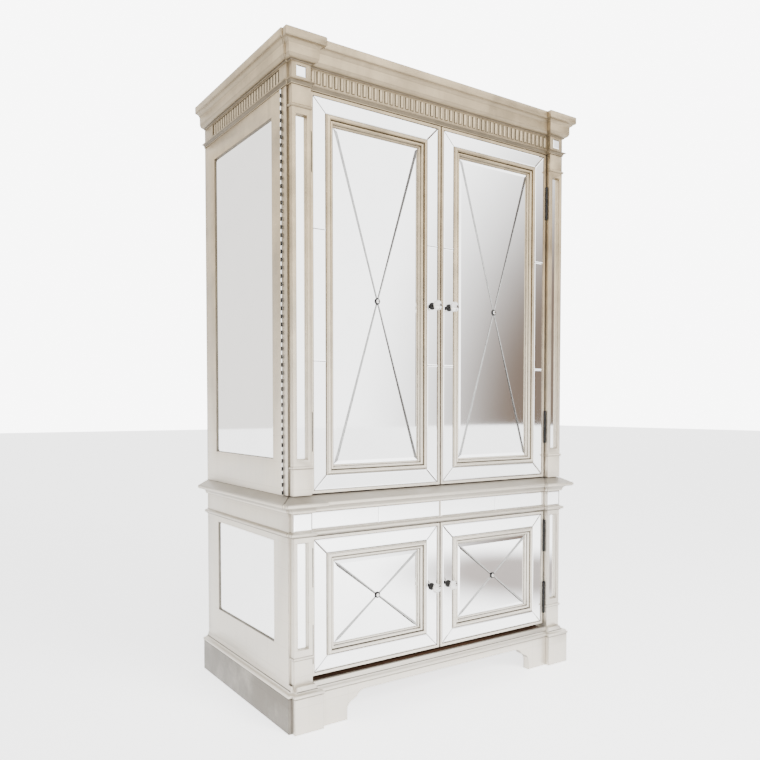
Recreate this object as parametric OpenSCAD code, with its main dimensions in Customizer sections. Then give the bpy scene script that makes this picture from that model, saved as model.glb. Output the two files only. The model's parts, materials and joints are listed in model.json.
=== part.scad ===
// Two-part mirrored armoire. Origin: bottom centre of the whole object, front towards -Y, millimetres.
// Depths are first given as "set", the distance behind the pilasters' front face (negative is in front).

/* [Overall] */
// Width over the case sides, without mouldings
case_w = 1216; // [1100:2:1400]
// Depth from the pilaster face to the back
case_d = 711; // [600:1:760]
// Height to the top of the cornice
total_h = 2172; // [2100:1:2300]
// Thickness of side boards and frames
board_t = 20; // [18:1:24]

/* [Levels] */
// Top of the plinth boards
plinth_h = 112; // [90:1:130]
// Top of the base cap moulding
cap_top = 143; // [135:1:155]
// Bottom edge of the bead under the lower frieze
lower_bead_z = 612; // [580:1:620]
// Top of the lower frieze and bottom of the waist moulding
waist_z = 690; // [680:1:700]
// Floor level of the upper case
upper_z = 743; // [738:1:746]
// Top of the upper doors' opening
head_z = 2021; // [1980:1:2030]
// Bottom of the cornice
cornice_z = 2090; // [2080:1:2100]

/* [Pilasters] */
// Width of a pilaster's front face
pilaster_w = 68; // [60:1:80]
// Step between the case side and the pilaster's outer side
side_step = 6; // [4:1:10]
// Depth of the pilaster in front of that step
front_step = 24; // [20:1:30]
// How far the doors are set back behind the pilaster face
door_set = 17; // [14:1:20]

/* [Doors] */
// Thickness of a door
door_t = 22; // [20:1:24]
// Width of the plain lip round a door
lip_w = 10; // [8:1:12]
// Width of the mirror border
border_w = 48; // [40:1:55]
// Width of the moulding inside the border
sticking_w = 32; // [28:1:36]
// Gap between a pair of doors
pair_gap = 5; // [4:0.5:6]
// Gap between a door and its pilaster, which holds the butt hinges
hinge_gap = 6; // [6:0.5:7]

/* [Hinges] */
// Length of a butt hinge
butt_len = 127; // [100:1:130]
// Radius of a butt hinge's knuckles
butt_r = 4; // [3.5:0.1:4]
// Radius of a piano hinge's knuckles
piano_r = 2.5; // [2:0.1:2.5]
// Spacing of the piano hinge's knuckles on one leaf
piano_pitch = 25.4; // [20:0.1:30]

/* [Frieze] */
// Number of reeds across the front
front_reeds = 49; // [30:1:60]
// Number of reeds along each side
side_reeds = 26; // [15:1:30]

/* [Hidden] */

reach = 40;                                  // how far the waist moulding stands out
face_y = reach - (case_d + reach) / 2;       // the pilasters' front face
function at(set) = face_y + set;             // y of a set
back_y = at(case_d);
side_x = case_w / 2;
pil_x1 = side_x - side_step;                 // outer side of a pilaster
pil_x0 = pil_x1 - pilaster_w;                // inner side of a pilaster
pil_mid = (pil_x0 + pil_x1) / 2;
door_x1 = pil_x0 - hinge_gap;                // hinge edge of a door
door_x0 = pair_gap / 2;                      // meeting edge of a door
joint = 0.05;                                // half the open joint between mitred lengths
mirror_t = 3.5;
pocket_t = 4;
slot_gap = 0.3;                              // play round a mirror in its pocket

play = 0.2;                                  // slack round boards that lie inside mouldings
crown_h = total_h - cornice_z;
cap_h = cap_top - plinth_h;
frieze_t = 30;
floor_t = 18;
lid_drop = 7;                                // dust top below the top of the cornice
lid_t = 15;
side_foot_z = 60;                            // bottom of the side boards and back, inside the plinth
inner_set = door_set + door_t + 3;           // front edge of the boards behind the doors
back_t = 12;
lip_x = 16;                                  // lip behind a door's hinge edge
lip_t = 15;

upper_door_z = [upper_z + 5, head_z - 2.5];
lower_door_z = [cap_top + 13, lower_bead_z - 3];

silver = [0.76, 0.71, 0.62];
glassy = [0.90, 0.91, 0.92];
carcass = [0.36, 0.28, 0.22];
black = [0.10, 0.10, 0.10];
steel = [0.70, 0.71, 0.72];

function arc(cx, cy, r, a0, a1, n) = [for (i = [0:n])
    let (a = a0 + (a1 - a0) * i / n) [cx + r * cos(a), cy + r * sin(a)]];

module both() {
    children();
    mirror([1, 0, 0]) children();
}

// side -1 keeps a piece on the left, +1 mirrors it to the right
module on_side(side) {
    if (side < 0) children();
    else mirror([1, 0, 0]) children();
}

module block(lo, hi) {
    translate(lo) cube(hi - lo);
}

// One straight length of moulding along +X with its back towards +Y. The profile's points are
// [distance outwards, height]; an end of 1 is an outside mitre, -1 an inside mitre and 0 a square cut.
module run(profile, len, end0, end1, gap0, gap1) {
    dmin = min([for (p = profile) p[0]]);
    dmax = max([for (p = profile) p[0]]);
    zmin = min([for (p = profile) p[1]]);
    zmax = max([for (p = profile) p[1]]);
    spare = dmax - dmin + 1;
    intersection() {
        translate([len + spare, 0, 0]) rotate([0, 0, -90]) rotate([90, 0, 0])
            linear_extrude(len + 2 * spare) polygon(profile);
        translate([0, 0, zmin]) linear_extrude(zmax - zmin) polygon([
            [gap0 - end0 * dmin, -dmin], [len - gap1 + end1 * dmin, -dmin],
            [len - gap1 + end1 * dmax, -dmax], [gap0 - end0 * dmax, -dmax]]);
    }
}

function heading(a, b) = atan2(b[1] - a[1], b[0] - a[0]);
function turn(a, b, c) = sign((b[0] - a[0]) * (c[1] - b[1]) - (b[1] - a[1]) * (c[0] - b[0]));

// Lengths first..last of a moulding that follows a plan path with its face to the right of the way,
// joined to each other and with an open joint at both ends of the group.
module lengths(path, profile, z, first, last) {
    top = len(path) - 2;
    for (i = [first:last]) {
        a = path[i];
        b = path[i + 1];
        translate([a[0], a[1], z]) rotate([0, 0, heading(a, b)]) run(profile, norm(b - a),
            i == 0 ? 0 : turn(path[i - 1], a, b), i == top ? 0 : turn(a, b, path[i + 2]),
            i == first && i > 0 ? joint : 0, i == last && i < top ? joint : 0);
    }
}

// A moulding round the case: two sides, two broken-out corner blocks and the middle, five pieces
module around(path, profile, z) {
    both() {
        lengths(path, profile, z, 0, 0);
        lengths(path, profile, z, 1, 4);
    }
    lengths(path, profile, z, 5, 5);
}

function flip(path) = [for (i = [len(path) - 1:-1:0]) [-path[i][0], path[i][1]]];
function plan(half) = concat(half, flip(half));
body_path = plan([[-side_x, back_y], [-side_x, at(front_step)], [-pil_x1, at(front_step)], [-pil_x1, at(0)],
    [-pil_x0, at(0)], [-pil_x0, at(door_set)]]);

base_out = 20;                               // plinth sides stand out this far from the case
base_front = 33;                             // corner blocks stand out this far from the pilasters
apron_front = 17.5;
base_x = side_x + base_out;
base_block_x = [pil_x0 - 22, pil_x1 + 14];
base_turn = -14;                             // set of the plinth sides' front ends
base_path = plan([[-base_x, back_y], [-base_x, at(base_turn)], [-base_block_x[1], at(base_turn)],
    [-base_block_x[1], at(-base_front)], [-base_block_x[0], at(-base_front)],
    [-base_block_x[0], at(-apron_front)]]);

crown_profile = concat([[-board_t, 0], [3, 0]], arc(4, 19, 16, -90, 0, 6), arc(36, 38, 16, 180, 90, 6),
    [[38, 57], [38, crown_h - 3], [35, crown_h], [-board_t, crown_h]]);
waist_profile = concat([[0, 0], [6, 0]], arc(26, 2, 18, 180, 90, 5), arc(reach - 8, 28, 8, -90, 90, 6),
    [[0, upper_z - waist_z]]);
frieze_bead_profile = concat([[0, 0], [2, 0]], arc(11, 2, 9, 180, 100, 4), [[12, 12], [12, 13], [0, 16]]);
lower_bead_profile = concat([[0, 0], [3, 0], [6, 4]], arc(7, 10, 6, -80, 80, 5), [[4, 17], [0, 19]]);
cap_curve = concat([[-2, 0]], arc(-3, 6, 6, -80, 90, 5), arc(-3, 27.6, 15.6, -105, -145, 3),
    [[-base_out, cap_h]]);
cap_profile = concat([[-base_front, 0]], cap_curve, [[-base_front, cap_h]]);
side_cap_profile = concat([[-base_out, 0]], cap_curve);

// Crown

module crown_moulding() color(silver) around(body_path, crown_profile, cornice_z);

module dust_top() color(carcass) intersection() {
    translate([0, 0, total_h - lid_drop - lid_t]) linear_extrude(lid_t) offset(delta = -board_t - play)
        polygon(concat([[-side_x, back_y + 2 * board_t]], body_path, [[side_x, back_y + 2 * board_t]]));
    block([-side_x, at(0), cornice_z], [side_x, back_y - back_t, total_h]);
}

reed_z = [head_z + 23, cornice_z - 6];
side_reed_y = [at(78), back_y - 87];         // the stretch of reeds along each side
side_recess = 4;
module frieze_board() color(silver) {
    block([-pil_x0 + joint, at(door_set), head_z], [pil_x0 - joint, at(door_set + frieze_t), cornice_z]);
    both() {
        difference() {
            union() {
                block([-pil_x1, at(0), head_z], [-pil_x0, at(front_step), cornice_z]);
                block([-side_x + board_t, at(front_step), head_z],
                    [-pil_x0, at(door_set + frieze_t), cornice_z]);
            }
            corner_square(1, pocket_t, 0);
        }
        difference() {
            block([-side_x, at(front_step) + joint, head_z], [-side_x + board_t - joint, back_y, cornice_z]);
            block([-side_x - 1, side_reed_y[0] - 6, reed_z[0] - 3],
                [-side_x + side_recess, side_reed_y[1] + 6, reed_z[1] + 2]);
        }
    }
}

corner_square_z = [head_z + 26, cornice_z - 10];
corner_square_half = 16.5;
// The small square in a frieze block, cut from (front) to (back) behind its face
module corner_square(front, back, slack) {
    block([-pil_mid - corner_square_half + slack, at(-front), corner_square_z[0] + slack],
        [-pil_mid + corner_square_half - slack, at(back), corner_square_z[1] - slack]);
}

module frieze_corner_mirrors() color(glassy) both() corner_square(0, mirror_t, slot_gap);

// A half-round upright reed whose flat back is at the origin
module reed(r, proud) {
    intersection() {
        translate([0, r - proud, reed_z[0]]) cylinder(h = reed_z[1] - reed_z[0], r = r, $fn = 24);
        block([-r, -proud, reed_z[0]], [r, 0, reed_z[1]]);
    }
}

module frieze_reeds() color(silver) {
    front_span = 2 * (pil_x0 - 4);
    pitch = front_span / front_reeds;
    for (i = [0:front_reeds - 1])
        translate([-front_span / 2 + (i + 0.5) * pitch, at(door_set), 0]) reed(8.5, 5);
    side_pitch = (side_reed_y[1] - side_reed_y[0]) / side_reeds;
    for (s = [-1, 1], i = [0:side_reeds - 1])
        translate([s * (side_x - side_recess), side_reed_y[0] + (i + 0.5) * side_pitch, 0])
            rotate([0, 0, s * 90]) reed(8, side_recess);
}

module frieze_bead() color(silver) around(body_path, frieze_bead_profile, head_z);

// Cases

// A side frame with a shallow pocket on its outer face, boxed as [y0, y1, z0, z1]
module side_frame(y0, y1, z0, z1, pocket) {
    difference() {
        block([-side_x, y0, z0], [-side_x + board_t, y1, z1]);
        block([-side_x - 1, pocket[0], pocket[2]], [-side_x + 8, pocket[1], pocket[3]]);
    }
}

module side_mirror(pocket) {
    block([-side_x + 5, pocket[0] + slot_gap, pocket[2] + slot_gap],
        [-side_x + 8, pocket[1] - slot_gap, pocket[3] - slot_gap]);
}

upper_pocket = [at(130), at(616), 858, 1954];
lower_pocket = [at(128), at(603), 255, 590];
piano_set = 57;                              // set of the piano hinge's axis
piano_x = side_x + 3;
leaf_t = 0.9;
piano_split = 0.6;                           // half the gap between the two leaves

module upper_side_frames() color(silver) both()
    side_frame(at(piano_set + piano_split + leaf_t), back_y, upper_z, head_z, upper_pocket);

module lower_side_frames() color(silver) both()
    side_frame(at(front_step), back_y, side_foot_z, lower_top_z, lower_pocket);

module side_mirrors() color(glassy) both() {
    side_mirror(upper_pocket);
    side_mirror(lower_pocket);
}

module back_panels() color(carcass) for (z = [[side_foot_z, lower_top_z], [upper_z, head_z - joint],
        [head_z + joint, total_h - lid_drop]])
    block([-side_x + board_t + joint, back_y - back_t, z[0]], [side_x - board_t - joint, back_y, z[1]]);

module inner_board(z0, z1, set0) {
    block([-side_x + board_t, at(set0), z0], [side_x - board_t, back_y - back_t, z1]);
}

// A board across the upper case, notched so the swinging pilasters clear it
module notched_board(z0) difference() {
    inner_board(z0, z0 + floor_t, inner_set);
    both() block([-side_x, at(0), z0 - 1],
        [-pil_x0 + lip_x + 2, at(piano_set + piano_split + leaf_t + 1), z0 + floor_t + 1]);
}

module ceiling_board() color(carcass) notched_board(head_z - floor_t);
module upper_floor_board() color(carcass) notched_board(upper_z);

floor_z = 141;
module lower_floor_board() color(carcass) difference() {
    inner_board(floor_z - floor_t, floor_z, door_set + 1);
    both() block([-side_x, at(0), floor_z - floor_t - 1],
        [-pil_x0 + lip_x + play, at(inner_set + lip_t + play), floor_z + 1]);
}

shelf_z = [400, 1750];
shelf_set = 70;
module shelves() color(carcass) for (z = shelf_z)
    block([-side_x + board_t + 1, at(shelf_set), z], [side_x - board_t - 1, back_y - back_t - 2, z + floor_t]);

module shelf_cleats() color(carcass) both() for (z = shelf_z)
    block([-side_x + board_t, at(shelf_set + 20), z - 22], [-side_x + board_t + 18, back_y - 60, z]);

rail_r = 12.5;
rail_z = 1690;
rail_y = at(370);
module along_x(x0, x1, r) {
    translate([x0, rail_y, rail_z]) rotate([0, 90, 0]) cylinder(h = x1 - x0, r = r, $fn = 48);
}

module hanging_rail() color(steel) {
    inside = side_x - board_t;
    difference() {
        along_x(-inside + 5, inside - 5, rail_r);
        along_x(-inside - 1, inside + 1, rail_r - 1.5);
    }
    both() {
        along_x(-inside, -inside + 4, 24);
        difference() {
            along_x(-inside + 4, -inside + 18, rail_r + 3);
            along_x(-inside + 4.5, -inside + 19, rail_r + joint);
        }
    }
}

module waist_moulding() color(silver) around(body_path, waist_profile, waist_z);

lower_top_z = upper_z - 22;
module lower_top_board() color(silver)
    translate([0, 0, lower_top_z]) linear_extrude(upper_z - lower_top_z) polygon(body_path);

// Lower frieze and pilasters

frieze_pocket_z = [waist_z - 57, waist_z - 2];
module lower_frieze_rail() color(silver) difference() {
    block([-pil_x0 + joint, at(door_set), lower_bead_z], [pil_x0 - joint, at(inner_set), lower_top_z]);
    frieze_panels(0, 1);
}

// Four panels in a row on the frieze, cut (1) or filled (0)
module frieze_panels(slack, cut) {
    bar = 4;
    span = pil_x0 - 3 - bar;
    both() for (i = [0, 1]) {
        x0 = -pil_x0 + 3 + i * span / 2 + slack + (cut == 0 && i == 1 ? 0.4 : 0);
        x1 = -pil_x0 + 3 + (i + 1) * span / 2 - slack;
        block([x0, at(door_set - cut), frieze_pocket_z[0] + slack],
            [x1, at(door_set + (cut == 0 ? mirror_t : pocket_t)), frieze_pocket_z[1] - slack]);
    }
}

module block_panel(front, back, slack) {
    block([-pil_x1 + 2 + slack, at(-front), frieze_pocket_z[0] + slack],
        [-pil_x0 - 2 - slack, at(back), frieze_pocket_z[1] - slack]);
}

module lower_frieze_mirrors() color(glassy) {
    frieze_panels(slot_gap, 0);
    both() block_panel(0, mirror_t, slot_gap);
}

module lower_bead() color(silver) around(body_path, lower_bead_profile, lower_bead_z);

recess_t = 15;                               // depth of the recess down a pilaster
recess_half = 19;
// The recess down a pilaster between the heights z
module strip_recess(z) {
    block([-pil_mid - recess_half, at(-1), z[0]], [-pil_mid + recess_half, at(recess_t), z[1]]);
}

// The mirror strip at the bottom of that recess
module strip_mirror(z) {
    block([-pil_mid - recess_half + slot_gap, at(recess_t - mirror_t), z[0] + slot_gap],
        [-pil_mid + recess_half - slot_gap, at(recess_t), z[1] - slot_gap]);
}

neck_return = 6;                             // ends in front of the butt hinge's knuckles
// A thin moulding round three sides of a pilaster's neck
module neck(z) {
    path = [[-pil_x1, at(front_step - 1)], [-pil_x1, at(0)], [-pil_x0, at(0)], [-pil_x0, at(neck_return)]];
    lengths(path, concat([[-1, 0], [2, 0]], arc(2, 5, 3, -60, 60, 3), [[2, 10], [-1, 10]]), z, 0, 2);
}

low_strip_z = [255, 595];
module lower_pilasters() color(silver) both() {
    difference() {
        union() {
            block([-pil_x1, at(0), plinth_h], [-pil_x0, at(front_step), lower_top_z]);
            block([-side_x + board_t, at(front_step), plinth_h], [-pil_x0, at(inner_set + lip_t), lower_top_z]);
            block([-pil_x0 - 1, at(inner_set), plinth_h],
                [-pil_x0 + lip_x, at(inner_set + lip_t), lower_bead_z]);
        }
        strip_recess(low_strip_z);
        block_panel(1, pocket_t, 0);
    }
    neck(222);
}

module lower_pilaster_mirrors() color(glassy) both() strip_mirror(low_strip_z);

// Plinth

module base_cap_moulding() color(silver) difference() {
    union() {
        both() {
            lengths(base_path, side_cap_profile, plinth_h, 0, 0);
            lengths(base_path, cap_profile, plinth_h, 1, 4);
        }
        lengths(base_path, cap_profile, plinth_h, 5, 5);
    }
    both() {
        block([-pil_x1, at(0), plinth_h - 1], [-pil_x0, at(front_step) + 1, cap_top + 1]);
        block([-side_x, at(front_step), plinth_h - 1], [-pil_x0, at(case_d), cap_top + 1]);
    }
}

arch_x = 415;
arch_rise = 31;
// Half of the arch between the bracket feet: upright, a hollow, a small step and a long flat top
function half_arch() = concat([[-arch_x, -1], [-arch_x, arch_rise]],
    arc(-arch_x + 30, arch_rise + 2, 30, 180, 100, 6), arc(-arch_x + 70, arch_rise + 20, 38, 150, 90, 5));

module plinth_front() color(silver) {
    translate([0, at(10), 0]) rotate([90, 0, 0]) linear_extrude(10 + apron_front) difference() {
        translate([-base_block_x[0], 0]) square([2 * base_block_x[0], plinth_h]);
        polygon(concat(half_arch(), flip(half_arch())));
    }
    both() {
        block([-base_block_x[1], at(-base_front), 0], [-base_block_x[0] - joint, at(base_turn), plinth_h]);
        block([-side_x, at(base_turn), 0], [-base_block_x[0] - joint, at(front_step), plinth_h]);
    }
}

module plinth_sides() color(silver) {
    both() block([-base_x, at(base_turn), 0], [-side_x, back_y, plinth_h]);
    block([-side_x, back_y - floor_t, 0], [side_x, back_y, side_foot_z]);
}

// Piano hinges between the case sides and the pilasters

hinge_z = [upper_z + 3, head_z - 2];
knuckles = floor((hinge_z[1] - hinge_z[0]) / piano_pitch);
knuckle_len = piano_pitch / 2 - 0.4;
pin_play = 0.05;
piano_pin = 1.2;

// One leaf of the piano hinge. back 1 is the case's leaf, back -1 the pilaster's
module piano_leaf(back, phase) {
    y0 = at(piano_set) + back * piano_split;
    flat = [min(y0, y0 + back * leaf_t), max(y0, y0 + back * leaf_t)];
    block([-side_x + 0.3, flat[0], hinge_z[0]], [-side_x + 20, flat[1], hinge_z[1]]);
    for (i = [0:knuckles - 1]) {
        z = hinge_z[0] + 1 + i * piano_pitch + phase * piano_pitch / 2;
        translate([-piano_x, at(piano_set), z]) cylinder(h = knuckle_len, r = piano_r, $fn = 24);
        block([-piano_x + 0.3, flat[0], z], [-side_x + 1, flat[1], z + knuckle_len]);
    }
}

module piano_hinge_case_leaves() color(steel) both() {
    piano_leaf(1, 0);
    translate([-piano_x, at(piano_set), hinge_z[0]])
        cylinder(h = hinge_z[1] - hinge_z[0], r = piano_pin, $fn = 24);
}

module piano_hinge_leaf(side) color(steel) on_side(side) difference() {
    piano_leaf(-1, 1);
    translate([-piano_x, at(piano_set), 0]) cylinder(h = total_h, r = piano_pin + pin_play, $fn = 24);
}

// Butt hinges between pilasters and doors

butt_x = door_x1 + 1;
butt_set = door_set - butt_r - 0.5;
butt_pin = 1.5;
butt_leaf_t = 1.6;
upper_butts = [947, 1829];
lower_butts = [262, 511];
butt_step = butt_len / 5;

// door 1 draws the door's leaf, door 0 the pilaster's leaf with its pin
module butt_leaf(zc, door) {
    z0 = zc - butt_len / 2;
    x0 = door == 1 ? -door_x1 - butt_leaf_t : -pil_x0;
    difference() {
        union() {
            block([x0, at(door_set + 1), z0], [x0 + butt_leaf_t, at(door_set + door_t - 1), z0 + butt_len]);
            for (i = [door:2:4]) {
                translate([-butt_x, at(butt_set), z0 + i * butt_step + 0.15])
                    cylinder(h = butt_step - 0.3, r = butt_r, $fn = 32);
                block([x0, at(butt_set + (door == 1 ? 2 : 0)), z0 + i * butt_step + 0.15],
                    [x0 + butt_leaf_t, at(door_set + 2), z0 + (i + 1) * butt_step - 0.15]);
            }
        }
        if (door == 1) translate([-butt_x, at(butt_set), z0 - 1])
            cylinder(h = butt_len + 2, r = butt_pin + pin_play, $fn = 24);
    }
    if (door == 0) translate([-butt_x, at(butt_set), z0]) cylinder(h = butt_len, r = butt_pin, $fn = 24);
}

module butt_leaves(heights, side, door) color(black) on_side(side) for (z = heights) butt_leaf(z, door);

module lower_hinge_case_leaves() {
    butt_leaves(lower_butts, -1, 0);
    butt_leaves(lower_butts, 1, 0);
}

// Swinging pilasters

high_strip_z = [860, 1932];
post_z = [upper_z + 2.5, head_z - 1.5];
module pilaster(side) color(silver) on_side(side) {
    difference() {
        union() {
            block([-pil_x1, at(0), post_z[0]], [-pil_x0, at(front_step + 1), post_z[1]]);
            block([-side_x, at(front_step), post_z[0]],
                [-pil_x0, at(piano_set - piano_split - leaf_t), post_z[1]]);
            block([-pil_x0 - 1, at(inner_set), post_z[0]],
                [-pil_x0 + lip_x, at(piano_set - piano_split - leaf_t), post_z[1]]);
        }
        strip_recess(high_strip_z);
    }
    neck(829);
    neck(1952);
}

module pilaster_mirror(side) color(glassy) on_side(side) strip_mirror(high_strip_z);

// Doors, drawn on the left; z is [bottom, top]

panel_set = 29;                              // face of the centre mirror

function inset_box(z, d) = [door_x0 + d, door_x1 - d, z[0] + d, z[1] - d];

// A flat rectangle on the door between two sets, from an [x0, x1, z0, z1] box
module slab(b, set0, set1) {
    block([-b[1], at(set0), b[2]], [-b[0], at(set1), b[3]]);
}

// A mitred picture-frame moulding inside the box b: profile points are [inwards, forwards]
module framing(b, profile, set, gap) {
    w = b[1] - b[0];
    h = b[3] - b[2];
    for (k = [[-b[1], b[2], 0, w], [-b[0], b[2], 90, h], [-b[0], b[3], 180, w], [-b[1], b[3], 270, h]])
        translate([k[0], at(set), k[1]]) rotate([90, 0, 0]) rotate([0, 0, k[2]])
            run([for (p = profile) [-p[0], p[1]]], k[3], 1, 1, gap, gap);
}

moulding_points = concat([[0, -4], [0, 1], [2, 2]], arc(9, -1, 7, 150, 40, 3), [[15, -2], [16.5, -4]],
    arc(21, -4, 4.5, 150, 10, 3), [[26, -8], [sticking_w, -12.2], [sticking_w, -16], [0, -16]]);

module door(side, z) color(silver) on_side(side) {
    difference() {
        slab(inset_box(z, 0), door_set, door_set + door_t);
        slab(inset_box(z, lip_w), door_set - 1, door_set + pocket_t);
        slab(inset_box(z, lip_w + border_w), door_set - 1, door_set + 16);
    }
    framing(inset_box(z, lip_w + border_w), moulding_points, door_set, 0);
}

border_profile = [[slot_gap, 0], [slot_gap, mirror_t],
    [border_w - slot_gap, mirror_t], [border_w - slot_gap, 0]];
module border_mirrors(side, z) color(glassy) on_side(side)
    framing(inset_box(z, lip_w), border_profile, door_set + pocket_t, joint);

module centre_mirror(side, z) color(glassy) on_side(side)
    slab(inset_box(z, lip_w + border_w + sticking_w + slot_gap), panel_set, panel_set + 4);

function mid(z) = (z[0] + z[1]) / 2;
door_mid_x = (door_x0 + door_x1) / 2;
knob_x = door_x0 + lip_w + border_w / 2 + 2;

// A piece turned on an axis that points forwards; its outline's points are [radius, forwards]
module turned(x, z, set, outline) {
    translate([-x, at(set), z]) rotate([90, 0, 0]) rotate_extrude($fn = 48) polygon(outline);
}

module rosette(side, z) color(steel) on_side(side)
    turned(door_mid_x, mid(z), panel_set, [[0, 0], [11, 0], [11, 2], [8, 4], [4, 6], [0, 6]]);

module knob(side, z) color(steel) on_side(side)
    turned(knob_x, mid(z), door_set + pocket_t - mirror_t, [[0, 0], [13, 0], [13, 2], [7, 6], [5, 12], [6, 20],
        [15, 27], [18, 31], [18, 35], [13, 41], [0, 43]]);

module door_hinge_leaves(side, heights) butt_leaves(heights, side, 1);

crown_moulding();
dust_top();
frieze_board();
frieze_reeds();
frieze_corner_mirrors();
frieze_bead();
ceiling_board();
upper_side_frames();
side_mirrors();
back_panels();
upper_floor_board();
shelves();
shelf_cleats();
hanging_rail();
waist_moulding();
lower_top_board();
lower_frieze_rail();
lower_frieze_mirrors();
lower_bead();
lower_side_frames();
lower_floor_board();
lower_pilasters();
lower_pilaster_mirrors();
base_cap_moulding();
plinth_front();
plinth_sides();
piano_hinge_case_leaves();
lower_hinge_case_leaves();
pilaster(-1);  // left_pilaster
pilaster_mirror(-1);  // left_pilaster_mirror
piano_hinge_leaf(-1);  // left_piano_hinge_leaf
butt_leaves(upper_butts, -1, 0);  // left_butt_hinge_leaves
pilaster(1);  // right_pilaster
pilaster_mirror(1);  // right_pilaster_mirror
piano_hinge_leaf(1);  // right_piano_hinge_leaf
butt_leaves(upper_butts, 1, 0);  // right_butt_hinge_leaves
door(-1, upper_door_z);  // upper_left_door
border_mirrors(-1, upper_door_z);  // upper_left_border_mirrors
centre_mirror(-1, upper_door_z);  // upper_left_centre_mirror
rosette(-1, upper_door_z);  // upper_left_rosette
knob(-1, upper_door_z);  // upper_left_knob
door_hinge_leaves(-1, upper_butts);  // upper_left_hinge_leaves
door(1, upper_door_z);  // upper_right_door
border_mirrors(1, upper_door_z);  // upper_right_border_mirrors
centre_mirror(1, upper_door_z);  // upper_right_centre_mirror
rosette(1, upper_door_z);  // upper_right_rosette
knob(1, upper_door_z);  // upper_right_knob
door_hinge_leaves(1, upper_butts);  // upper_right_hinge_leaves
door(-1, lower_door_z);  // lower_left_door
border_mirrors(-1, lower_door_z);  // lower_left_border_mirrors
centre_mirror(-1, lower_door_z);  // lower_left_centre_mirror
rosette(-1, lower_door_z);  // lower_left_rosette
knob(-1, lower_door_z);  // lower_left_knob
door_hinge_leaves(-1, lower_butts);  // lower_left_hinge_leaves
door(1, lower_door_z);  // lower_right_door
border_mirrors(1, lower_door_z);  // lower_right_border_mirrors
centre_mirror(1, lower_door_z);  // lower_right_centre_mirror
rosette(1, lower_door_z);  // lower_right_rosette
knob(1, lower_door_z);  // lower_right_knob
door_hinge_leaves(1, lower_butts);  // lower_right_hinge_leaves
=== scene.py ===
"""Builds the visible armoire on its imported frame: leafed case, mirrors, hinges, knobs and a stage."""

import json
import math
import random

import bmesh
import bpy
from bpy.props import FloatProperty, FloatVectorProperty, IntProperty, PointerProperty
from mathutils import Matrix, Vector

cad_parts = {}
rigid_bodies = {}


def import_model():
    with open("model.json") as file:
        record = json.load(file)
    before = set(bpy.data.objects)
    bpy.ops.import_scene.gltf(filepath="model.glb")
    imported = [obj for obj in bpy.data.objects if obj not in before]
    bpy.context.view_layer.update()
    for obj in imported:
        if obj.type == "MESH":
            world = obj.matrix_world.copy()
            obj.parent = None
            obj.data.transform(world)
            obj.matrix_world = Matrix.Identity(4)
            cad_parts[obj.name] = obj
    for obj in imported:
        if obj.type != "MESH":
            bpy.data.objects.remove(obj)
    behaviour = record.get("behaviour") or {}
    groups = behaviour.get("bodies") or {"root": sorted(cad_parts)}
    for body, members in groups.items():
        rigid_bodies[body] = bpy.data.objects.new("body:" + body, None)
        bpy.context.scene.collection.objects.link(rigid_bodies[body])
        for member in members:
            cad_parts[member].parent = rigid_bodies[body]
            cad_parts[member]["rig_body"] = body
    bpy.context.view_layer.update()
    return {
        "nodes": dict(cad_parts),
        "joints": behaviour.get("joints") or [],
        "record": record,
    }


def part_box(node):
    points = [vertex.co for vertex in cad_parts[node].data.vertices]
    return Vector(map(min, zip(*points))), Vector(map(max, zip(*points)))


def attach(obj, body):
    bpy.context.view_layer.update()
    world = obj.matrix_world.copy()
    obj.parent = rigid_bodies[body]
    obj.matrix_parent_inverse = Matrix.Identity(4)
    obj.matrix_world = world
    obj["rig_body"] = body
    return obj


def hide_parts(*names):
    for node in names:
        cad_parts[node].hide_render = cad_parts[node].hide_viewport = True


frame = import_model()

bl_info = {
    "name": "Mirrored Armoire",
    "version": (1, 0, 0),
    "blender": (4, 5, 0),
    "location": "3D View > Sidebar > Armoire",
    "description": "Builds the visible pieces of a two-part mirrored armoire on its frame",
    "category": "Object",
}

SLOTS = {part["node"]: part["material_slot"] for part in frame["record"]["subparts"]}
JOINTS = {joint["name"]: joint for joint in frame["joints"]}
SIDES = ("left", "right")
DOORS = [f"{level}_{side}" for level in ("upper", "lower") for side in SIDES]

# Lengths in metres that the frame doesn't give
MM = 0.001
MERGE = 0.00001
MIRROR_PLAY = 0.0003
POCKET_DEPTH = 0.004
PANEL_STEP = 0.0004
SIDE_BEVEL = 0.012
SMALL_BEVEL = 0.003
METAL_EDGE = 0.0003
VALLEY_WIDTH = 0.011

# Depths and leans of the mirror plates
BORDER_DROP = 0.0009
SIDE_DROP = 0.0012
FRONT_DROP = 0.0010
SIDE_LEAN = 0.004
UP_LEAN = 0.0006

# Widths that the drawn outlines have, and where the polished part of a fitting starts; nearer the door a
# fitting is black as painted shade
MOULDING_DRAWN = 0.032
KNOB_DRAWN = 0.036
KNOB_SHADE_UNTIL = 0.0205
ROSETTE_DRAWN = 0.022
ROSETTE_SHADE_UNTIL = 0.0049

# Reeds: where the rows start, and how the side ones differ from the front ones
END_REED_INSET = 0.00395
SIDE_REEDS_FROM = 0.061
SIDE_REED_SLIMMER = 0.0005
SIDE_REED_PROUD = 0.004

# Piano hinge: distances from its axis backwards and sideways, then its small sizes
PIANO_FACES = (0.0006, 0.0015)
PIANO_REACH = (0.0027, 0.023)
PIANO_TAB = (0.0003, 0.0040)
PIANO_EDGE = 0.0002
PIANO_GAP = 0.0004
PIANO_CHAMFER = 0.0005

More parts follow.
